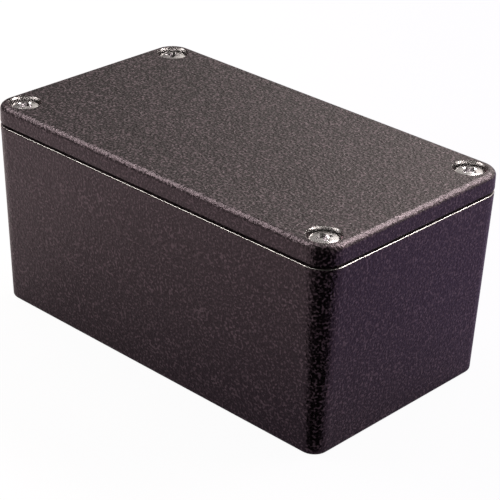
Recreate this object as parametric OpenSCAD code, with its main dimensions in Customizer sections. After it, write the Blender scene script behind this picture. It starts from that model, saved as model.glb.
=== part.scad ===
// Die cast aluminium box with a sealed screw-down lid.
// X runs along the length, Y across the width and Z up. The origin is the centre of the underside.
// The seal line runs along the inner face of the rim and swings inwards round each lid screw, so that
// the screws stay outside the seal. The cavity, the tongue on the base, the groove in the lid and the
// gasket are all swept along that one line.

/* [Case] */
// Outer length at the joint line
case_length = 115; // [100:1:200]
// Outer width at the joint line
case_width = 65; // [56:1:120]
// Overall height with the lid on
case_height = 55.6; // [40:0.2:90]
// Height of the lid above the rim of the base
lid_height = 5.6; // [5.2:0.1:8]
// Radius of the upright corners at the joint line
corner_radius = 6; // [5:0.25:8]
// Slope of the outer walls in degrees, narrowing towards the underside
outer_draft = 2.25; // [0.5:0.25:2.5]
// Radius along the bottom edge
foot_radius = 1; // [0.4:0.1:1.5]
// Radius along the top edge of the lid
lid_edge_radius = 1.5; // [0.5:0.1:1.8]

/* [Walls] */
// Width of the rim, from the outer face to the cavity
rim_width = 4; // [3.8:0.1:4.4]
// Thickness of the floor
floor_thickness = 3; // [2:0.1:4]
// Slope of the cavity walls in degrees
inner_draft = 1; // [0.5:0.1:1]
// Fillet between the floor and the cavity walls
floor_fillet = 0.7; // [0.3:0.1:0.8]

/* [Joint and seal] */
// Height of the gap that shows between the lid and the base
joint_gap = 0.7; // [0.2:0.05:0.8]
// How far the gap goes in from the outer face
joint_gap_depth = 1; // [0.5:0.1:1.2]
// Rounding of the two edges that face each other across the gap
joint_edge_radius = 0.4; // [0.1:0.05:0.45]
// Width of the tongue that stands on the rim
tongue_width = 1.6; // [1.2:0.1:1.6]
// Height of the tongue above the rim
tongue_height = 2.2; // [1.5:0.1:2.4]
// Chamfer along the top of the tongue
tongue_chamfer = 0.25; // [0.1:0.05:0.4]
// Space between the tongue and each side of the groove
groove_clearance = 0.3; // [0.1:0.05:0.4]
// Thickness of the gasket as it lies compressed in the groove
gasket_thickness = 1; // [0.6:0.1:1.4]
// Space between the gasket and each side of the groove
gasket_clearance = 0.05; // [0.02:0.01:0.1]
// Width of the lip inside the groove
lip_width = 1.2; // [1:0.1:1.3]
// Metal left between the groove and a screw recess
recess_wall = 0.9; // [0.7:0.1:1.5]
// Thickness of the lid's plate over the cavity
plate_thickness = 2.8; // [2.2:0.1:3.4]

/* [Lid screws] */
// Distance of a screw from each of the two outer faces of its corner
screw_inset = 6.3; // [6.1:0.1:7]
// Thread diameter of the lid screws
screw_diameter = 4; // [3:0.5:4]
// Length of a screw under its head
screw_length = 12; // [8:1:16]
// Diameter of the screw head
head_diameter = 7; // [6:0.1:7.4]
// Height of the side of the screw head
head_height = 2.1; // [1.8:0.1:2.4]
// Rise of the domed top over the side of the head
head_dome = 0.35; // [0.1:0.05:0.5]
// Width across the cross recess in the head
cross_width = 4.2; // [3:0.1:4.6]
// Depth of the cross recess
cross_depth = 1.7; // [1:0.1:2]
// Thickness of the wings of the cross recess
cross_wing = 0.8; // [0.5:0.1:1]
// Diameter of the recess that a head sits in
recess_diameter = 8.6; // [8:0.1:9]
// Depth of the recess that a head sits in
recess_depth = 2.9; // [2.6:0.1:3.2]
// Radial clearance between a screw and its threaded hole
thread_clearance = 0.05; // [0.02:0.01:0.1]
// Radial clearance between a screw and the lid
lid_hole_clearance = 0.25; // [0.1:0.05:0.4]
// Depth of a threaded hole below the rim
thread_depth = 13; // [12:0.5:20]
// Width of the chamfer at the mouth of a threaded hole
mouth_chamfer = 0.4; // [0.2:0.1:0.6]

/* [Board pads] */
// Distance of the pad centres from the ends of the case
pad_inset_x = 19.5; // [19:0.5:30]
// Distance of the pad centres from the long sides of the case
pad_inset_y = 12.5; // [11:0.5:20]
// Diameter of a pad at its top
pad_diameter = 6.4; // [5.5:0.1:7]
// Height of the pads above the floor
pad_height = 5; // [3:0.5:8]
// Diameter of the threaded hole in a pad
pad_hole_diameter = 2.5; // [2:0.1:3.3]
// How far a pad's hole goes below the level of the floor
pad_hole_below_floor = 1; // [0:0.1:1.2]

/* [Hidden] */
$fn = 96;

paint_colour = [0.17, 0.16, 0.17];
metal_colour = [0.80, 0.79, 0.80];
rubber_colour = [0.30, 0.30, 0.31];

overcut = 1;
pad_draft = 2;
drill_tip_angle = 59;
pocket_draft = 3;
shank_chamfer = 0.5;
cross_taper = 0.45;

base_height = case_height - lid_height;
half_length = case_length / 2;
half_width = case_width / 2;

// The screw centres, and the seal line that swings round them.
screw_x = half_length - screw_inset;
screw_y = half_width - screw_inset;
groove_outer = tongue_width + groove_clearance;
swing_radius = recess_diameter / 2 + recess_wall + groove_outer;
bend_radius = screw_inset - rim_width;
seal_half_x = half_length - rim_width;
seal_half_y = half_width - rim_width;
notch_x = screw_x - swing_radius;
notch_y = screw_y - swing_radius;
swing_reach = 1.5 * (swing_radius + bend_radius) - swing_radius;

groove_depth = tongue_height + gasket_thickness;
head_seat = lid_height - recess_depth;

// Outward position of a sloping wall at height z, where it meets the rim at 0.
function wall_at(z, draft) = -(base_height - z) * tan(draft);

// The floor fillet, limited by what the slope leaves of the seal line's outward bends at the floor.
fillet_radius = min(floor_fillet, (bend_radius + wall_at(floor_thickness, inner_draft)) / 2);

// Turns a section through a quarter about the Z axis, with the section's own zero at the given radius.
// What reaches past the axis is left out.
module quarter_turn(radius) {
    rotate_extrude(angle = 90)
        intersection() {
            translate([radius, 0])
                children();
            translate([0, -case_height])
                square([case_width, 2 * case_height]);
        }
}

// Solid inside a rounded rectangle, whose edge follows the profile given as a child.
// The profile is drawn with X outwards from the outline and reaches in by the corner radius.
module rounded_block(half_x, half_y, radius, bottom, top) {
    inner_x = half_x - radius;
    inner_y = half_y - radius;
    translate([-inner_x, -inner_y, bottom])
        cube([2 * inner_x, 2 * inner_y, top - bottom]);
    for (side = [0, 1]) {
        mirror([0, side, 0])
            translate([-inner_x, half_y, 0])
                rotate([90, 0, 90])
                    linear_extrude(2 * inner_x)
                        children();
        mirror([side, 0, 0])
            translate([half_x, inner_y, 0])
                rotate([90, 0, 0])
                    linear_extrude(2 * inner_y)
                        children();
        for (end = [0, 1])
            mirror([end, 0, 0])
                mirror([0, side, 0])
                    translate([inner_x, inner_y, 0])
                        quarter_turn(radius)
                            children();
    }
}

// Sweeps the profiles along the seal line: the first along the sides and the outward bends, and the
// last round the screws. Both are drawn with X outwards from the line.
module along_seal() {
    last = $children - 1;
    for (side = [0, 1]) {
        mirror([0, side, 0])
            translate([bend_radius - notch_x, seal_half_y, 0])
                rotate([90, 0, 90])
                    linear_extrude(2 * (notch_x - bend_radius))
                        children(0);
        mirror([side, 0, 0])
            translate([seal_half_x, notch_y - bend_radius, 0])
                rotate([90, 0, 0])
                    linear_extrude(2 * (notch_y - bend_radius))
                        children(0);
        for (end = [0, 1])
            mirror([end, 0, 0])
                mirror([0, side, 0]) {
                    for (centre = [[notch_x - bend_radius, screw_y], [screw_x, notch_y - bend_radius]])
                        translate(centre)
                            quarter_turn(bend_radius)
                                children(0);
                    translate([screw_x, screw_y])
                        rotate([0, 0, 180])
                            quarter_turn(swing_radius)
                                mirror([1, 0])
                                    children(last);
                }
    }
}

// Fills what lies more than one bend radius inside the seal line.
module seal_core(bottom, top) {
    translate([bend_radius - notch_x, -screw_y, bottom])
        cube([2 * (notch_x - bend_radius), 2 * screw_y, top - bottom]);
    translate([-screw_x, bend_radius - notch_y, bottom])
        cube([2 * screw_x, 2 * (notch_y - bend_radius), top - bottom]);
}

module at_screws() {
    for (x = [-screw_x, screw_x], y = [-screw_y, screw_y])
        translate([x, y])
            children();
}

module at_pads() {
    for (x = [-1, 1], y = [-1, 1])
        translate([x * (half_length - pad_inset_x), y * (half_width - pad_inset_y)])
            children();
}

// Section of the outer wall of the base: straight sloping face, rounded foot and rounded rim edge.
module base_profile() {
    foot_x = wall_at(foot_radius, outer_draft) - foot_radius / cos(outer_draft);
    rim_z = base_height - joint_edge_radius;
    rim_x = wall_at(rim_z, outer_draft) - joint_edge_radius / cos(outer_draft);
    slope = [cos(outer_draft), -sin(outer_draft)];
    polygon([
        [-corner_radius, 0],
        [foot_x, 0],
        [foot_x, foot_radius] + foot_radius * slope,
        [rim_x, rim_z] + joint_edge_radius * slope,
        [rim_x, base_height],
        [-corner_radius, base_height]
    ]);
    translate([foot_x, foot_radius])
        circle(foot_radius);
    translate([rim_x, rim_z])
        circle(joint_edge_radius);
}

// Section of the cavity, from one reach inside the seal line out to the sloping wall.
module cavity_profile(reach) {
    fillet_z = floor_thickness + fillet_radius;
    fillet_x = wall_at(fillet_z, inner_draft) - fillet_radius / cos(inner_draft);
    slope = [cos(inner_draft), -sin(inner_draft)];
    polygon([
        [-reach, floor_thickness],
        [fillet_x, floor_thickness],
        [fillet_x, fillet_z] + fillet_radius * slope,
        [0, base_height],
        [0, base_height + overcut],
        [-reach, base_height + overcut]
    ]);
    translate([fillet_x, fillet_z])
        circle(fillet_radius);
}

module tongue_profile() {
    translate([0, base_height])
        polygon([
            [0, 0],
            [tongue_width, 0],
            [tongue_width, tongue_height - tongue_chamfer],
            [tongue_width - tongue_chamfer, tongue_height],
            [tongue_chamfer, tongue_height],
            [0, tongue_height - tongue_chamfer]
        ]);
}

// Space of a lid screw's threaded hole: drill tip, straight bore and a chamfered mouth at the rim.
module screw_bore() {
    bore_radius = screw_diameter / 2 + thread_clearance;
    mouth_radius = bore_radius + mouth_chamfer;
    tip_height = bore_radius / tan(drill_tip_angle);
    translate([0, 0, base_height])
        rotate_extrude()
            polygon([
                [0, -thread_depth - tip_height],
                [bore_radius, -thread_depth],
                [bore_radius, -mouth_chamfer],
                [mouth_radius, 0],
                [mouth_radius, overcut],
                [0, overcut]
            ]);
}

module base() {
    pad_radius = pad_diameter / 2;
    color(paint_colour)
        difference() {
            union() {
                difference() {
                    rounded_block(half_length, half_width, corner_radius, 0, base_height)
                        base_profile();
                    along_seal() {
                        cavity_profile(bend_radius);
                        cavity_profile(swing_reach);
                    }
                    seal_core(floor_thickness, base_height + overcut);
                }
                along_seal()
                    tongue_profile();
                at_pads()
                    translate([0, 0, floor_thickness])
                        cylinder(h = pad_height, r1 = pad_radius + pad_height * tan(pad_draft), r2 = pad_radius);
            }
            at_screws()
                screw_bore();
            at_pads()
                translate([0, 0, floor_thickness - pad_hole_below_floor])
                    cylinder(h = pad_height + pad_hole_below_floor + overcut, d = pad_hole_diameter);
        }
}

// Section of the lid's edge, with the rim of the base at height 0.
module lid_profile() {
    polygon([
        [-corner_radius, 0],
        [-joint_gap_depth, 0],
        [-joint_gap_depth, joint_gap],
        [-joint_edge_radius, joint_gap],
        [0, joint_gap + joint_edge_radius],
        [0, lid_height - lid_edge_radius],
        [-lid_edge_radius, lid_height],
        [-corner_radius, lid_height]
    ]);
    translate([-joint_edge_radius, joint_gap + joint_edge_radius])
        circle(joint_edge_radius);
    translate([-lid_edge_radius, lid_height - lid_edge_radius])
        circle(lid_edge_radius);
}

module groove_profile() {
    translate([-groove_clearance, -overcut])
        square([groove_outer + groove_clearance, groove_depth + overcut]);
}

// Section of the shallow pocket inside the lip, under the plate.
module pocket_profile(reach) {
    pocket_depth = lid_height - plate_thickness;
    lip_inside = groove_clearance + lip_width;
    polygon([
        [-reach, -overcut],
        [-lip_inside, -overcut],
        [-lip_inside, 0],
        [-lip_inside - pocket_depth * tan(pocket_draft), pocket_depth],
        [-reach, pocket_depth]
    ]);
}

module lid() {
    color(paint_colour)
        translate([0, 0, base_height])
            difference() {
                rounded_block(half_length, half_width, corner_radius, 0, lid_height)
                    lid_profile();
                along_seal()
                    groove_profile();
                along_seal() {
                    pocket_profile(bend_radius);
                    pocket_profile(swing_reach);
                }
                seal_core(-overcut, lid_height - plate_thickness);
                at_screws() {
                    translate([0, 0, -overcut])
                        cylinder(h = lid_height + 2 * overcut, r = screw_diameter / 2 + lid_hole_clearance);
                    translate([0, 0, head_seat])
                        cylinder(h = recess_depth + overcut, d = recess_diameter);
                }
            }
}

// One closed ring that lies against the roof of the groove and on top of the tongue.
module gasket() {
    ring_width = groove_outer + groove_clearance - 2 * gasket_clearance;
    color(rubber_colour)
        along_seal()
            translate([gasket_clearance - groove_clearance, base_height + tongue_height])
                square([ring_width, gasket_thickness]);
}

// Four tapering wings cut down into the head.
module cross_recess() {
    top = head_height + head_dome;
    translate([0, 0, top - cross_depth])
        intersection() {
            cylinder(
                h = cross_depth + overcut,
                r1 = cross_width * cross_taper / 2,
                r2 = cross_width / 2 + overcut * (1 - cross_taper) * cross_width / (2 * cross_depth)
            );
            for (turn = [0, 90])
                rotate([0, 0, turn])
                    translate([-cross_width, -cross_wing / 2, 0])
                        cube([2 * cross_width, cross_wing, cross_depth + overcut]);
        }
}

// Cheese head screw standing with the underside of its head at height 0.
module lid_screw(x, y) {
    head_radius = head_diameter / 2;
    shank_radius = screw_diameter / 2;
    dome_radius = (head_radius * head_radius + head_dome * head_dome) / (2 * head_dome);
    color(metal_colour)
        translate([x, y, base_height + head_seat])
            difference() {
                union() {
                    cylinder(h = head_height, r = head_radius);
                    intersection() {
                        translate([0, 0, head_height])
                            cylinder(h = head_dome, r = head_radius);
                        translate([0, 0, head_height + head_dome - dome_radius])
                            sphere(dome_radius);
                    }
                    translate([0, 0, shank_chamfer - screw_length])
                        cylinder(h = screw_length - shank_chamfer, r = shank_radius);
                    translate([0, 0, -screw_length])
                        cylinder(h = shank_chamfer, r1 = shank_radius - shank_chamfer, r2 = shank_radius);
                }
                cross_recess();
            }
}

base();
lid();
gasket();
lid_screw(-screw_x, -screw_y);  // screw_front_left
lid_screw(screw_x, -screw_y);  // screw_front_right
lid_screw(-screw_x, screw_y);  // screw_rear_left
lid_screw(screw_x, screw_y);  // screw_rear_right
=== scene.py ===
"""Looks of the die cast aluminium box: its coat, bare metal, seal, screws, light and camera."""
import math

import bmesh
import bpy
from mathutils import Matrix, Vector


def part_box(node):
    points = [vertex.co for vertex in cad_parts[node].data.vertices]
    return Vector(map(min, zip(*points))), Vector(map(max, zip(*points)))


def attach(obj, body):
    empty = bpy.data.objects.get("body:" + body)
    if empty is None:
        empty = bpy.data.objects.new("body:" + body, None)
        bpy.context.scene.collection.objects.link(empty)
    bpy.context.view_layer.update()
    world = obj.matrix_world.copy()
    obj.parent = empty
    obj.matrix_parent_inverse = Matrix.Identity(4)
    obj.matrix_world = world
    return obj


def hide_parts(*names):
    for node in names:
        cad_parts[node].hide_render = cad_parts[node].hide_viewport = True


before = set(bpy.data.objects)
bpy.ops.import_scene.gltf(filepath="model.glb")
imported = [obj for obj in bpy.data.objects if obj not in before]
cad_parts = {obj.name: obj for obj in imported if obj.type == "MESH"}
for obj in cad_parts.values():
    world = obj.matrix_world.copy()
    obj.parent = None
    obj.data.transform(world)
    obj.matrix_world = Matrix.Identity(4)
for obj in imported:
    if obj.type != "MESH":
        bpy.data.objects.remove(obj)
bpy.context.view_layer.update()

MM = 0.001

# Places on the part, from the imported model, in metres.
BASE_LOW, BASE_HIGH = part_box("base")
LID_LOW, LID_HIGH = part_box("lid")
SCREW_NODES = ["screw_front_left", "screw_front_right", "screw_rear_left", "screw_rear_right"]
SCREW_LOW, SCREW_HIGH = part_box("screw_rear_right")
SCREW_X = (SCREW_LOW.x + SCREW_HIGH.x) / 2
SCREW_Y = (SCREW_LOW.y + SCREW_HIGH.y) / 2
RIM_Z = LID_LOW.z

# Sizes of the lid's recesses, the screws and the casting, as the CAD has them.
RECESS_RADIUS = 4.3 * MM
RECESS_SEAT_Z = 52.7 * MM
CAVITY_HALF_X = 53.5 * MM
CAVITY_HALF_Y = 28.5 * MM
CORNER_RADIUS = 6.0 * MM
LID_INSIDE_MARGIN = 1.05 * MM
POCKET_ROOF_Z = 52.8 * MM
HEAD_RADIUS = 3.5 * MM
HEAD_SIDE = 2.1 * MM
HEAD_DOME = 0.35 * MM
SHANK_RADIUS = 2.0 * MM
SCREW_LENGTH = 12.0 * MM
THREAD_PITCH = 0.7 * MM

NOISE_LOW, NOISE_HIGH = 0.3, 0.7
WHITE = (1.0, 1.0, 1.0, 1.0)


class Nodes:
    """Short ways to add nodes to one node tree."""

    def __init__(self, tree):
        self.tree = tree

    def add(self, kind, settings=None, **inputs):
        node = self.tree.nodes.new(kind)
        for name, value in (settings or {}).items():
            setattr(node, name, value)
        for name, value in inputs.items():
            self.put(node, name.replace("_", " "), value)
        return node

    def put(self, node, socket, value):
        target = node.inputs[socket]
        if isinstance(value, bpy.types.NodeSocket):
            self.tree.links.new(value, target)
        else:
            target.default_value = value

    def math(self, operation, *values, clamp=False):
        node = self.tree.nodes.new("ShaderNodeMath")
        node.operation = operation
        node.use_clamp = clamp
        for index, value in enumerate(values):
            self.put(node, index, value)
        return node.outputs[0]

    def ramp(self, value, low, high, to_low=0.0, to_high=1.0):
        """Value mapped smoothly from low..high to to_low..to_high."""
        node = self.tree.nodes.new("ShaderNodeMapRange")
        node.interpolation_type = "SMOOTHSTEP"
        for index, number in enumerate([value, low, high, to_low, to_high]):
            self.put(node, index, number)
        return node.outputs[0]

    def mix(self, factor, first, second, kind="FLOAT"):
        node = self.tree.nodes.new("ShaderNodeMix")
        node.data_type = kind
        sockets = {"FLOAT": (2, 3, 0), "RGBA": (6, 7, 2)}[kind]
        self.put(node, 0, factor)
        self.put(node, sockets[0], first)
        self.put(node, sockets[1], second)
        return node.outputs[sockets[2]]

    def spread(self, noise, to_low, to_high):
        """The range that holds most of a noise, mapped smoothly to to_low..to_high."""
        return self.ramp(noise, NOISE_LOW, NOISE_HIGH, to_low, to_high)

    def noise(self, vector, size, detail=2.0, roughness=0.5):
        """Noise with features of about the given size in metres."""
        node = self.add("ShaderNodeTexNoise", Vector=vector, Scale=1 / size)
        self.put(node, "Detail", detail)
        self.put(node, "Roughness", roughness)
        return node.outputs["Fac"]

    def length(self, first, second):
        """Length of the flat vector with the two given parts."""
        first_square = self.math("MULTIPLY", first, first)
        second_square = self.math("MULTIPLY", second, second)
        return self.math("SQRT", self.math("ADD", first_square, second_square))


def new_material(name):
    """A material with one Principled shader, its node helper and its object coordinates."""
    material = bpy.data.materials.new(name)
    material.use_nodes = True
    nodes = Nodes(material.node_tree)
    shader = material.node_tree.nodes["Principled BSDF"]
    position = nodes.add("ShaderNodeTexCoord").outputs["Object"]
    return material, nodes, shader, position


def axis_distance(nodes, position):
    """Distance from the nearest lid screw's axis, and the position's parts."""
    parts = nodes.add("ShaderNodeSeparateXYZ", Vector=position).outputs
    along_x = nodes.math("SUBTRACT", nodes.math("ABSOLUTE", parts["X"]), SCREW_X)
    along_y = nodes.math("SUBTRACT", nodes.math("ABSOLUTE", parts["Y"]), SCREW_Y)
    return nodes.length(along_x, along_y), along_x, along_y, parts


# Textured powder coat
COAT_DARK = (0.0030, 0.0022, 0.0028, 1.0)
COAT_PALE = (0.1050, 0.0760, 0.0900, 1.0)
# Pink tint of the coat's reflections: a painted reflection colour that stands for the tinted light, not the
# paint.
COAT_PAINTED_REFLECTION_TINT = (1.0, 0.76, 0.90, 1.0)
COAT_IOR = 1.65
GRAIN_SIZE = 0.72 * MM
SPECKLE_SIZE = 0.60 * MM
PATCH_SIZE = 9.0 * MM
SPECKLE_START, SPECKLE_FULL = 0.50, 0.72
PATCH_LOW, PATCH_HIGH, PATCH_DIMMING = 0.2, 0.8, 0.75
COAT_SMOOTH, COAT_ROUGH, HOLLOW_ROUGH = 0.24, 0.29, 0.10
SPECKLE_HEIGHT = 0.3

# Bare cast and machined aluminium
CAST_DARK = (0.36, 0.35, 0.34, 1.0)
CAST_PALE = (0.56, 0.55, 0.54, 1.0)
MACHINED = (0.78, 0.76, 0.75, 1.0)
FLOW_STRETCH = 0.35
FLOW_SIZE = 6.0 * MM
SKIN_SIZE = 0.45 * MM
CAST_ROUGH, CAST_SMOOTH = 0.52, 0.38
SKIN_HEIGHT, FLOW_HEIGHT = 0.35, 0.3
TURNING_SIZE = 0.11 * MM
TURNED_SMOOTH, TURNED_ROUGH = 0.22, 0.34
TURNED_HEIGHT = 0.12
CASTING_BUMP = 0.20 * MM


def coat_layers(nodes, position):
    """Colour, roughness and height of the textured powder coat."""
    grain = nodes.noise(position, GRAIN_SIZE, detail=1.5)
    fine = nodes.noise(position, SPECKLE_SIZE, detail=0.5)
    patches = nodes.noise(position, PATCH_SIZE)
    dimming = nodes.ramp(patches, PATCH_LOW, PATCH_HIGH, PATCH_DIMMING, 1.0)
    speckle = nodes.math("MULTIPLY", nodes.ramp(fine, SPECKLE_START, SPECKLE_FULL), dimming)
    colour = nodes.mix(speckle, COAT_DARK, COAT_PALE, "RGBA")
    hollows = nodes.spread(grain, HOLLOW_ROUGH, 0.0)
    roughness = nodes.math("ADD", hollows, nodes.spread(patches, COAT_SMOOTH, COAT_ROUGH))
    height = nodes.math("ADD", grain, nodes.math("MULTIPLY", fine, SPECKLE_HEIGHT))
    return colour, roughness, height


def cast_layers(nodes, position):
    """Colour, roughness and height of the bare skin of the casting, with its soft flow marks."""
    flow = nodes.add("ShaderNodeMapping", Vector=position, Scale=(FLOW_STRETCH, 1.0, 1.0))
    marks = nodes.noise(flow.outputs[0], FLOW_SIZE, detail=5.0, roughness=0.65)
    skin = nodes.noise(position, SKIN_SIZE, detail=3.0)
    colour = nodes.mix(nodes.spread(marks, 0.0, 1.0), CAST_DARK, CAST_PALE, "RGBA")
    roughness = nodes.spread(marks, CAST_ROUGH, CAST_SMOOTH)
    skin_height = nodes.math("MULTIPLY", skin, SKIN_HEIGHT)
    height = nodes.math("ADD", skin_height, nodes.math("MULTIPLY", marks, FLOW_HEIGHT))
    return colour, roughness, height


def casting_material(name, bare, machined, threads=None):
    """Coat over a casting, bare where the mask from bare() is 1 and machined where machined() is 1.
    Each mask is made by a function of the node helper and what axis_distance gives."""
    material, nodes, shader, position = new_material(name)
    place = axis_distance(nodes, position)
    radius, parts = place[0], place[3]
    coat_colour, coat_rough, coat_height = coat_layers(nodes, position)
    cast_colour, cast_rough, cast_height = cast_layers(nodes, position)
    bare_mask = bare(nodes, parts, position)
    machined_mask = machined(nodes, radius, parts)
    metal = nodes.math("MAXIMUM", bare_mask, machined_mask)

    rings = nodes.add("ShaderNodeCombineXYZ", X=radius, Y=0.0, Z=parts["Z"])
    turning = nodes.noise(rings.outputs[0], TURNING_SIZE, detail=1.0)
    metal_colour = nodes.mix(machined_mask, cast_colour, MACHINED, "RGBA")
    metal_rough = nodes.mix(machined_mask, cast_rough, nodes.spread(turning, TURNED_SMOOTH, TURNED_ROUGH))
    metal_height = nodes.mix(machined_mask, cast_height, nodes.math("MULTIPLY", turning, TURNED_HEIGHT))
    if threads is not None:
        metal_height = nodes.math("ADD", metal_height, threads(nodes, place))

    nodes.put(shader, "Base Color", nodes.mix(metal, coat_colour, metal_colour, "RGBA"))
    nodes.put(shader, "Metallic", metal)
    nodes.put(shader, "Roughness", nodes.mix(metal, coat_rough, metal_rough))
    shader.inputs["IOR"].default_value = COAT_IOR
    # The coat's reflections get a painted pink tint.
    shader.inputs["Specular Tint"].default_value = COAT_PAINTED_REFLECTION_TINT
    height = nodes.mix(metal, coat_height, metal_height)
    bump = nodes.add("ShaderNodeBump", Height=height, Strength=1.0, Distance=CASTING_BUMP)
    nodes.put(shader, "Normal", bump.outputs[0])
    return material


def inside(nodes, value, low, high, soft=0.01 * MM):
    """1 where the value lies between low and high, with soft ends."""
    rise = nodes.ramp(value, low - soft, low + soft)
    fall = nodes.ramp(value, high - soft, high + soft, 1.0, 0.0)
    return nodes.math("MULTIPLY", rise, fall)


def within(nodes, radius, low, high):
    """1 near a screw's axis, falling to 0 between the two given radii."""
    return nodes.ramp(radius, low, high, 1.0, 0.0)


def outline_depth(nodes, parts):
    """How far a point lies inside the lid's outline with its rounded corners, seen from above."""
    past_x = nodes.math("SUBTRACT", nodes.math("ABSOLUTE", parts["X"]), LID_HIGH.x - CORNER_RADIUS)
    past_y = nodes.math("SUBTRACT", nodes.math("ABSOLUTE", parts["Y"]), LID_HIGH.y - CORNER_RADIUS)
    past_x, past_y = nodes.math("MAXIMUM", past_x, 0.0), nodes.math("MAXIMUM", past_y, 0.0)
    return nodes.math("SUBTRACT", CORNER_RADIUS, nodes.length(past_x, past_y))


# Where the castings are bare: soft edges of the masks, and reaches past the faces that they end at.
BARE_FADE = 0.04 * MM
BELOW_RIM = 1.0 * MM
ABOVE_POCKET = 0.2 * MM
MOUTH_NEAR, MOUTH_FAR = 0.01 * MM, 0.04 * MM
SEAT_BELOW, SEAT_NEAR = 0.06 * MM, 0.03 * MM
RAGGED_SIZE = 1.3 * MM
RAGGED_REACH = 5.0 * MM
OVERSPRAY_LOW, OVERSPRAY_HIGH = 1.4 * MM, 0.2 * MM
CAVITY_MARGIN = 0.06 * MM
UNDERSIDE_LOW, UNDERSIDE_HIGH = 1.0 * MM, 1.1 * MM
CHAMFER_NEAR, CHAMFER_FAR = 2.48 * MM, 2.52 * MM
BORE_LOW, BORE_HIGH = 30 * MM, 31 * MM
HAIR_LOW, HAIR_HIGH, HAIR_SOFT = 0.13 * MM, 0.05 * MM, 0.02 * MM
THREAD_NEAR, THREAD_FAR = 2.10 * MM, 2.14 * MM
THREAD_HEIGHT = 6.0


def lid_bare(nodes, parts, position):
    """The lid's inside: everything under the plate, behind the gap that shows."""
    depth = outline_depth(nodes, parts)
    mask = nodes.ramp(depth, LID_INSIDE_MARGIN, LID_INSIDE_MARGIN + BARE_FADE)
    below = inside(nodes, parts["Z"], RIM_Z - BELOW_RIM, POCKET_ROOF_Z + ABOVE_POCKET)
    return nodes.math("MULTIPLY", mask, below)


def lid_machined(nodes, radius, parts):
    """The screw recesses, cut after coating, with a hair of bare metal round their mouths."""
    near = within(nodes, radius, RECESS_RADIUS + MOUTH_NEAR, RECESS_RADIUS + MOUTH_FAR)
    above = nodes.ramp(parts["Z"], RECESS_SEAT_Z - SEAT_BELOW, RECESS_SEAT_Z - SEAT_NEAR)
    return nodes.math("MULTIPLY", near, above)


def base_bare(nodes, parts, position):
    """The cavity, left bare, with a ragged band of overspray below the rim."""
    ragged = nodes.noise(position, RAGGED_SIZE, detail=4.0, roughness=0.7)
    edge = nodes.math("ADD", parts["Z"], nodes.math("MULTIPLY", ragged, RAGGED_REACH))
    below = nodes.ramp(edge, RIM_Z - OVERSPRAY_LOW, RIM_Z - OVERSPRAY_HIGH, 1.0, 0.0)
    half_x = CAVITY_HALF_X + CAVITY_MARGIN
    half_y = CAVITY_HALF_Y + CAVITY_MARGIN
    mask = inside(nodes, parts["X"], -half_x, half_x)
    mask = nodes.math("MULTIPLY", mask, inside(nodes, parts["Y"], -half_y, half_y))
    mask = nodes.math("MULTIPLY", mask, below)
    above = nodes.ramp(parts["Z"], BASE_LOW.z + UNDERSIDE_LOW, BASE_LOW.z + UNDERSIDE_HIGH)
    return nodes.math("MULTIPLY", mask, above)


def base_machined(nodes, radius, parts):
    """The threaded screw holes with their chamfered mouths, and a bare hair round the rim's edge."""
    near = within(nodes, radius, CHAMFER_NEAR, CHAMFER_FAR)
    bores = nodes.math("MULTIPLY", near, nodes.ramp(parts["Z"], BORE_LOW, BORE_HIGH))
    rim = inside(nodes, parts["Z"], RIM_Z - HAIR_LOW, RIM_Z - HAIR_HIGH, HAIR_SOFT)
    return nodes.math("MAXIMUM", bores, rim)


def bore_threads(nodes, place):
    """Height of a thread cut in the screw holes, as a wave that climbs one pitch a turn."""
    radius, along_x, along_y, parts = place
    turn = nodes.math("DIVIDE", nodes.math("ARCTAN2", along_y, along_x), 2 * math.pi)
    climb = nodes.math("ADD", nodes.math("DIVIDE", parts["Z"], THREAD_PITCH), turn)
    wave = nodes.math("PINGPONG", climb, 0.5)
    near = within(nodes, radius, THREAD_NEAR, THREAD_FAR)
    return nodes.math("MULTIPLY", nodes.math("MULTIPLY", wave, THREAD_HEIGHT), near)


# Rubber of the seal
RUBBER_DARK = (0.018, 0.018, 0.019, 1.0)
RUBBER_PALE = (0.034, 0.033, 0.034, 1.0)
RUBBER_GRAIN = 0.25 * MM
BLOOM_SIZE = 5.0 * MM
RUBBER_SMOOTH, RUBBER_ROUGH = 0.5, 0.66
RUBBER_BUMP = 0.03 * MM

# Plated steel of the screws
STEEL_CLEAN = (0.86, 0.83, 0.86, 1.0)
STEEL_STAINED = (0.62, 0.58, 0.62, 1.0)
STEEL_TURNING = 0.12 * MM
STAIN_SIZE = 1.1 * MM
STAIN_FULL = 0.75
DRAWN_OUT = 0.6
STEEL_SMOOTH, STEEL_ROUGH, TURNING_ROUGH = 0.13, 0.24, 0.10
TURNING_HEIGHT, STAIN_HEIGHT = 0.5, 0.8
STEEL_BUMP = 0.02 * MM


def seal_material():
    """Moulded rubber with a faint grain."""
    material, nodes, shader, position = new_material("seal_rubber")
    grain = nodes.noise(position, RUBBER_GRAIN, detail=3.0)
    bloom = nodes.noise(position, BLOOM_SIZE)
    nodes.put(shader, "Base Color", nodes.mix(bloom, RUBBER_DARK, RUBBER_PALE, "RGBA"))
    nodes.put(shader, "Roughness", nodes.spread(grain, RUBBER_SMOOTH, RUBBER_ROUGH))
    bump = nodes.add("ShaderNodeBump", Height=grain, Strength=0.6, Distance=RUBBER_BUMP)
    nodes.put(shader, "Normal", bump.outputs[0])
    return material


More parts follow.
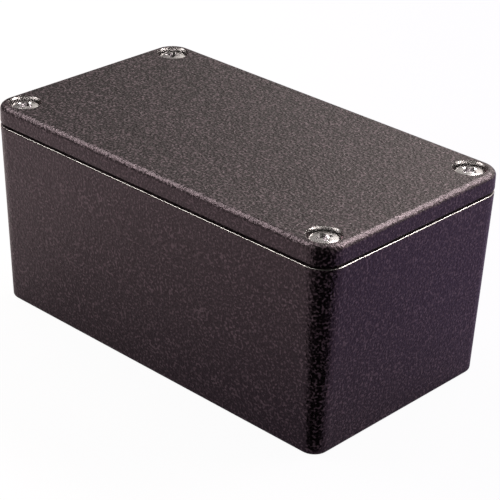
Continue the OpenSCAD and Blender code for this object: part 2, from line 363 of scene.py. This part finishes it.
def steel_material():
    """Bright zinc plated steel: fine turning marks round the head and small stains."""
    material, nodes, shader, position = new_material("plated_steel")
    parts = nodes.add("ShaderNodeSeparateXYZ", Vector=position).outputs
    rings = nodes.add("ShaderNodeCombineXYZ", X=nodes.length(parts["X"], parts["Y"]), Y=0.0)
    nodes.put(rings, "Z", nodes.math("MULTIPLY", parts["Z"], DRAWN_OUT))
    turning = nodes.noise(rings.outputs[0], STEEL_TURNING, detail=1.0)
    stains = nodes.noise(position, STAIN_SIZE, detail=3.0)
    stained = nodes.ramp(stains, NOISE_LOW, STAIN_FULL)
    nodes.put(shader, "Base Color", nodes.mix(stained, STEEL_CLEAN, STEEL_STAINED, "RGBA"))
    turned_rough = nodes.math("MULTIPLY", turning, TURNING_ROUGH)
    stain_rough = nodes.spread(stains, STEEL_SMOOTH, STEEL_ROUGH)
    nodes.put(shader, "Roughness", nodes.math("ADD", turned_rough, stain_rough))
    shader.inputs["Metallic"].default_value = 1.0
    turned_height = nodes.math("MULTIPLY", turning, TURNING_HEIGHT)
    height = nodes.math("ADD", turned_height, nodes.math("MULTIPLY", stains, STAIN_HEIGHT))
    bump = nodes.add("ShaderNodeBump", Height=height, Strength=0.7, Distance=STEEL_BUMP)
    nodes.put(shader, "Normal", bump.outputs[0])
    return material


def repaint(node, material):
    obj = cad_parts[node]
    obj.data.materials.clear()
    obj.data.materials.append(material)


repaint("lid", casting_material("lid_coat", lid_bare, lid_machined))
repaint("base", casting_material("base_coat", base_bare, base_machined, bore_threads))
repaint("gasket", seal_material())


# Screws

HEAD_SEGMENTS = 72
THREAD_SEGMENTS = 40
THREAD_DEPTH = 0.43 * MM
POLE_RADIUS = MM / 1000000
HEAD_CHAMFER = 0.15 * MM
HEAD_SHOULDER = 0.45 * MM
SHOULDER_END, SHOULDER_STEPS = 84, 7
DOME_STEPS = 6
CROSS_WING_HALF = 0.42 * MM
CROSS_FILLET = 0.55 * MM
CROSS_FILLET_SHARE = 0.82
CROSS_REACH_LOW, CROSS_REACH_TOP = 1.0 * MM, 2.408 * MM
CROSS_DEPTH, CROSS_OVERCUT = 1.7 * MM, 0.5 * MM
EDGE_WIDTH = 0.07 * MM
EDGE_ANGLE = 42
SMOOTH_ANGLE = 38
THREAD_TOP = 0.5 * MM
TIP_INSET = 0.55 * MM
NECK_INSET = 0.1 * MM


def lathe(bm, profile, segments):
    """Turns a profile of (radius, height) points about Z. Points at radius 0 become poles."""
    rings = []
    for radius, height in profile:
        if radius < POLE_RADIUS:
            rings.append([bm.verts.new((0.0, 0.0, height))])
            continue
        ring = []
        for step in range(segments):
            angle = 2 * math.pi * step / segments
            ring.append(bm.verts.new((radius * math.cos(angle), radius * math.sin(angle), height)))
        rings.append(ring)
    for low, high in zip(rings, rings[1:]):
        for step in range(segments):
            after = (step + 1) % segments
            corners = [low[step % len(low)], low[after % len(low)]]
            corners += [high[after % len(high)], high[step % len(high)]]
            unique = list(dict.fromkeys(corners))
            if len(unique) > 2:
                bm.faces.new(unique)


def arc(centre, radius, start, end, steps):
    """Points of an arc in the (radius, height) plane, with angles in degrees."""
    points = []
    for step in range(steps + 1):
        angle = math.radians(start + (end - start) * step / steps)
        points.append((centre[0] + radius * math.cos(angle), centre[1] + radius * math.sin(angle)))
    return points


def head_profile():
    """Cheese head: chamfered underside, upright side, rounded shoulder and a domed top."""
    profile = [(0.0, 0.0), (SHANK_RADIUS, 0.0)]
    profile += [(HEAD_RADIUS - HEAD_CHAMFER, 0.0), (HEAD_RADIUS, HEAD_CHAMFER)]
    shoulder_centre = (HEAD_RADIUS - HEAD_SHOULDER, HEAD_SIDE - HEAD_SHOULDER)
    profile += arc(shoulder_centre, HEAD_SHOULDER, 0, SHOULDER_END, SHOULDER_STEPS)
    dome_start = profile[-1]
    rise = HEAD_SIDE + HEAD_DOME - dome_start[1]
    for step in range(1, DOME_STEPS + 1):
        share = 1 - step / DOME_STEPS
        radius = dome_start[0] * share
        profile.append((radius, dome_start[1] + rise * (1 - share * share)))
    return profile


def object_from(bm, name):
    bmesh.ops.recalc_face_normals(bm, faces=bm.faces)
    mesh = bpy.data.meshes.new(name)
    bm.to_mesh(mesh)
    bm.free()
    obj = bpy.data.objects.new(name, mesh)
    bpy.context.scene.collection.objects.link(obj)
    return obj


def cross_cutter(name):
    """Four tapering wings that meet in slanting corners."""
    top = HEAD_SIDE + HEAD_DOME
    corner = (CROSS_WING_HALF + CROSS_FILLET) * CROSS_FILLET_SHARE
    bm = bmesh.new()
    rings = []
    for height, reach in ((top - CROSS_DEPTH, CROSS_REACH_LOW), (top + CROSS_OVERCUT, CROSS_REACH_TOP)):
        quarter = [(reach, -CROSS_WING_HALF), (reach, CROSS_WING_HALF), (corner, corner)]
        ring = []
        for turns in range(4):
            turn = Matrix.Rotation(math.radians(90 * turns), 2)
            for point in quarter:
                flat = turn @ Vector(point)
                ring.append(bm.verts.new((flat.x, flat.y, height)))
        rings.append(ring)
    count = len(rings[0])
    for step in range(count):
        after = (step + 1) % count
        bm.faces.new([rings[0][step], rings[0][after], rings[1][after], rings[1][step]])
    bm.faces.new(list(reversed(rings[0])))
    bm.faces.new(rings[1])
    return object_from(bm, name)


def apply_modifiers(obj):
    """Replaces the object's mesh by what its modifiers make of it."""
    depsgraph = bpy.context.evaluated_depsgraph_get()
    mesh = bpy.data.meshes.new_from_object(obj.evaluated_get(depsgraph))
    obj.modifiers.clear()
    obj.data = mesh


def head_mesh():
    """The screw head with its cross recess cut and its sharp edges broken."""
    bm = bmesh.new()
    lathe(bm, head_profile(), HEAD_SEGMENTS)
    head = object_from(bm, "head_blank")
    cutter = cross_cutter("cross_cutter")
    cut = head.modifiers.new("cut", "BOOLEAN")
    cut.object = cutter
    cut.solver = "EXACT"
    bpy.context.view_layer.update()
    apply_modifiers(head)
    edge = head.modifiers.new("edge", "BEVEL")
    edge.width = EDGE_WIDTH
    edge.segments = 2
    edge.limit_method = "ANGLE"
    edge.angle_limit = math.radians(EDGE_ANGLE)
    edge.use_clamp_overlap = True
    bpy.context.view_layer.update()
    apply_modifiers(head)
    mesh = head.data
    bpy.data.objects.remove(head)
    bpy.data.objects.remove(cutter)
    return mesh


# One pitch of the thread, as (share of the pitch, share of the depth): flat root, flank, flat crest, flank.
THREAD_FORM = [(0.0, 1.0), (0.25, 1.0), (0.5625, 0.0), (0.6875, 0.0)]


def add_thread(bm):
    """The threaded shank below the head. Its grid lines climb with the thread, and its end is a cone."""
    bottom, top = -SCREW_LENGTH, -THREAD_TOP
    tip_radius = SHANK_RADIUS - TIP_INSET
    neck_radius = SHANK_RADIUS - NECK_INSET
    turns = int(SCREW_LENGTH / THREAD_PITCH) + 2
    rows = [(turn + share, depth) for turn in range(-1, turns) for share, depth in THREAD_FORM]
    columns = []
    for step in range(THREAD_SEGMENTS):
        angle = 2 * math.pi * step / THREAD_SEGMENTS
        column = []
        for pitches, depth in rows:
            height = min(max(bottom + THREAD_PITCH * (pitches + step / THREAD_SEGMENTS), bottom), top)
            radius = min(SHANK_RADIUS - THREAD_DEPTH * depth, tip_radius + (height - bottom))
            column.append(bm.verts.new((radius * math.cos(angle), radius * math.sin(angle), height)))
        columns.append(column)
    per_turn = len(THREAD_FORM)
    for step in range(THREAD_SEGMENTS):
        left, right = columns[step], columns[(step + 1) % THREAD_SEGMENTS]
        shift = per_turn if step + 1 == THREAD_SEGMENTS else 0
        for row in range(len(rows) - 1 - shift):
            bm.faces.new([left[row], right[row + shift], right[row + shift + 1], left[row + 1]])
    bmesh.ops.remove_doubles(bm, verts=bm.verts, dist=MM / 1000)
    lathe(bm, [(0.0, bottom), (tip_radius, bottom)], THREAD_SEGMENTS)
    neck = [(SHANK_RADIUS - THREAD_DEPTH, top - 0.5 * NECK_INSET), (neck_radius, top + 2 * NECK_INSET)]
    neck.append((neck_radius, NECK_INSET))
    lathe(bm, neck, THREAD_SEGMENTS)


def screw_mesh():
    """A whole screw with the underside of its head at height 0."""
    bm = bmesh.new()
    add_thread(bm)
    bm.from_mesh(head_mesh())
    screw = object_from(bm, "screw_pattern")
    mesh = screw.data
    bpy.data.objects.remove(screw)
    smooth_by_angle(mesh, SMOOTH_ANGLE)
    return mesh


def smooth_by_angle(mesh, degrees):
    for polygon in mesh.polygons:
        polygon.use_smooth = True
    mesh.set_sharp_from_angle(angle=math.radians(degrees))


# Camera, as fitted to the outline of the box.
CAMERA_POSITION = (0.29048, -0.30727, 0.23968)
CAMERA_AZIMUTH = 42.9544
CAMERA_ELEVATION = 27.0821
CAMERA_ROLL = 1.8637
CAMERA_LENS = 133.816
SENSOR = 36.0


def add_camera():
    azimuth, elevation = math.radians(CAMERA_AZIMUTH), math.radians(CAMERA_ELEVATION)
    level = Vector((math.sin(azimuth), -math.cos(azimuth), 0))
    back = level * math.cos(elevation) + Vector((0, 0, math.sin(elevation)))
    right = (-back).cross(Vector((0, 0, 1))).normalized()
    up = right.cross(-back)
    roll = math.radians(CAMERA_ROLL)
    camera_right = math.cos(roll) * right + math.sin(roll) * up
    camera_up = math.cos(roll) * up - math.sin(roll) * right
    data = bpy.data.cameras.new("camera")
    data.lens = CAMERA_LENS
    data.sensor_width = SENSOR
    data.clip_start = 0.01
    camera = bpy.data.objects.new("camera", data)
    turned = Matrix((camera_right, camera_up, back)).transposed().to_4x4()
    camera.matrix_world = Matrix.Translation(CAMERA_POSITION) @ turned
    bpy.context.scene.collection.objects.link(camera)
    bpy.context.scene.camera = camera


add_camera()


# Screws in place, each with its cross at its own angle.
CROSS_ANGLES = dict(zip(SCREW_NODES, (12, 64, 38, 81)))


def add_screws():
    mesh = screw_mesh()
    mesh.materials.append(steel_material())
    for name in SCREW_NODES:
        low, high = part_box(name)
        screw = bpy.data.objects.new(name.replace("screw", "threaded_screw"), mesh.copy())
        screw.location = ((low.x + high.x) / 2, (low.y + high.y) / 2, high.z - HEAD_SIDE - HEAD_DOME)
        screw.rotation_euler.z = math.radians(CROSS_ANGLES[name])
        bpy.context.scene.collection.objects.link(screw)
        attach(screw, name)
        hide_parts(name)


add_screws()


# Floor, lights and surroundings

# Paper tones that only reflections and bounced light see: painted reflections, paler to the left and darker
# and lilac to the right, that tint the box's two seen sides.
PAINTED_REFLECTION_LEFT = (0.56, 0.50, 0.53, 1.0)
PAINTED_REFLECTION_RIGHT = (0.27, 0.21, 0.36, 1.0)
PAPER_BLEND = 0.15
PAPER_WHITE = 1.06
SHADOW_LEFT = 0.10
FLOOR_HALF = 3.0
BACKDROP_TONE = (1.0, 0.95, 0.86, 1.0)
FILL = 0.22

# What reflections see of the surroundings. Each row is low, high, strength at low and strength at high.
BACKDROP_FROM_LEFT = (-0.85, -0.38, 0.02, 1.12)
CEILING_FADE = (0.45, 0.75, 1.0, 0.12)
CAMERA_SIDE_FADE = (-0.1, 0.6, 1.0, 0.03)

# The black card, a sheet that paints a dark reflection on the box's near upright corner: its start near the
# corner, its height over the floor, and how far and wide it goes.
CARD_BLACK = (0.002, 0.002, 0.002, 1.0)
CARD_INSET = 4 * MM
CARD_HEIGHT = 0.4 * MM
CARD_NEAR, CARD_FAR, CARD_SPREAD = 0.002, 0.8, 1.6

# The two strip lights that the edges reflect.
STRIP_DISTANCE = 0.9
STRIP_LENGTH, STRIP_WIDTH = 1.0, 0.22
STRIP_TONE = (1.0, 0.97, 0.90)


def floor_material():
    """White paper: white to the camera with a faint shadow, and lit as paper for reflections, in a painted
    reflection tone that is paler to the left and darker and lilac to the right.
    """
    material = bpy.data.materials.new("paper")
    material.use_nodes = True
    tree = material.node_tree
    tree.nodes.clear()
    nodes = Nodes(tree)
    camera_ray = nodes.add("ShaderNodeLightPath").outputs["Is Camera Ray"]
    position = nodes.add("ShaderNodeTexCoord").outputs["Object"]
    place = nodes.add("ShaderNodeSeparateXYZ", Vector=position).outputs
    # Painted reflection tone: paler to the left, darker and lilac to the right.
    across = nodes.ramp(nodes.math("ADD", place["X"], place["Y"]), -PAPER_BLEND, PAPER_BLEND)
    tone = nodes.mix(across, PAINTED_REFLECTION_LEFT, PAINTED_REFLECTION_RIGHT, "RGBA")
    paper = nodes.add("ShaderNodeBsdfDiffuse", Color=tone).outputs[0]
    white = nodes.add("ShaderNodeEmission", Color=WHITE, Strength=PAPER_WHITE).outputs[0]
    mixed = nodes.add("ShaderNodeMixShader")
    nodes.put(mixed, 0, nodes.math("MULTIPLY", camera_ray, 1 - SHADOW_LEFT))
    nodes.put(mixed, 1, paper)
    nodes.put(mixed, 2, white)
    out = nodes.add("ShaderNodeOutputMaterial")
    nodes.put(out, "Surface", mixed.outputs[0])
    return material


def sheet(name, corners, material):
    """A flat stage piece through the given corners."""
    bm = bmesh.new()
    bm.faces.new([bm.verts.new(corner) for corner in corners])
    obj = object_from(bm, name)
    obj.data.materials.append(material)
    return obj


def add_floor():
    half = FLOOR_HALF
    corners = [(-half, -half, 0), (half, -half, 0), (half, half, 0), (-half, half, 0)]
    sheet("floor", corners, floor_material())


def add_flag():
    """A black card on the floor before the near corner, seen by reflections only: a painted dark reflection
    on the box's near upright corner.
    """
    material = bpy.data.materials.new("black_card")
    material.use_nodes = True
    shader = material.node_tree.nodes["Principled BSDF"]
    shader.inputs["Base Color"].default_value = CARD_BLACK
    shader.inputs["Specular IOR Level"].default_value = 0.0
    azimuth = math.radians(CAMERA_AZIMUTH)
    ahead = Vector((math.sin(azimuth), -math.cos(azimuth), 0))
    aside = Vector((math.cos(azimuth), math.sin(azimuth), 0))
    start = Vector((BASE_HIGH.x - CARD_INSET, BASE_LOW.y + CARD_INSET, CARD_HEIGHT))
    corners = []
    for distance, side in ((CARD_NEAR, -1), (CARD_NEAR, 1), (CARD_FAR, 1), (CARD_FAR, -1)):
        corners.append(start + ahead * distance + aside * side * distance * CARD_SPREAD)
    card = sheet("flag", corners, material)
    card.visible_camera = False
    card.visible_diffuse = False
    card.visible_shadow = False


def add_strip_light(name, direction, turn, radiance):
    """A long area light aimed at the middle of the box from the given direction, turned about its axis."""
    target = Vector((0, 0, LID_HIGH.z / 2))
    data = bpy.data.lights.new(name, "AREA")
    data.shape = "RECTANGLE"
    data.size = STRIP_LENGTH
    data.size_y = STRIP_WIDTH
    data.energy = radiance * math.pi * STRIP_LENGTH * STRIP_WIDTH
    data.color = STRIP_TONE
    light = bpy.data.objects.new(name, data)
    towards = Vector(direction).normalized()
    light.location = target + towards * STRIP_DISTANCE
    upright = towards.to_track_quat("Z", "Y").to_matrix()
    light.rotation_euler = (upright @ Matrix.Rotation(math.radians(turn), 3, "Z")).to_euler()
    bpy.context.scene.collection.objects.link(light)


def add_world():
    """White to the camera, shaded by direction to reflections, and a plain fill to the rest."""
    world = bpy.data.worlds.new("studio")
    bpy.context.scene.world = world
    world.use_nodes = True
    tree = world.node_tree
    tree.nodes.clear()
    nodes = Nodes(tree)
    rays = nodes.add("ShaderNodeLightPath").outputs
    direction = nodes.add("ShaderNodeTexCoord").outputs["Generated"]
    azimuth = math.radians(CAMERA_AZIMUTH)
    side = nodes.add("ShaderNodeVectorMath", {"operation": "DOT_PRODUCT"})
    nodes.put(side, 0, direction)
    nodes.put(side, 1, (math.sin(azimuth), -math.cos(azimuth), 0.0))
    parts = nodes.add("ShaderNodeSeparateXYZ", Vector=direction).outputs
    backdrop = nodes.ramp(parts["X"], *BACKDROP_FROM_LEFT)
    ceiling = nodes.ramp(parts["Z"], *CEILING_FADE)
    backdrop = nodes.math("MULTIPLY", backdrop, ceiling)
    behind_camera = nodes.ramp(side.outputs["Value"], *CAMERA_SIDE_FADE)
    glossy = nodes.math("MULTIPLY", backdrop, behind_camera)
    strength = nodes.mix(rays["Is Glossy Ray"], FILL, glossy)
    seen = nodes.math("MAXIMUM", rays["Is Camera Ray"], rays["Is Transmission Ray"])
    strength = nodes.mix(seen, strength, 1.0)
    tone = nodes.mix(seen, BACKDROP_TONE, WHITE, "RGBA")
    background = nodes.add("ShaderNodeBackground", Color=tone)
    nodes.put(background, "Strength", strength)
    out = nodes.add("ShaderNodeOutputWorld")
    nodes.put(out, "Surface", background.outputs[0])


add_floor()
add_flag()
add_strip_light("left_strip", (-0.62, -0.24, 0.73), turn=-27, radiance=8.0)
add_strip_light("right_strip", (0.24, 0.66, 0.71), turn=28, radiance=13.0)
add_world()
bpy.context.scene.view_settings.view_transform = "Standard"
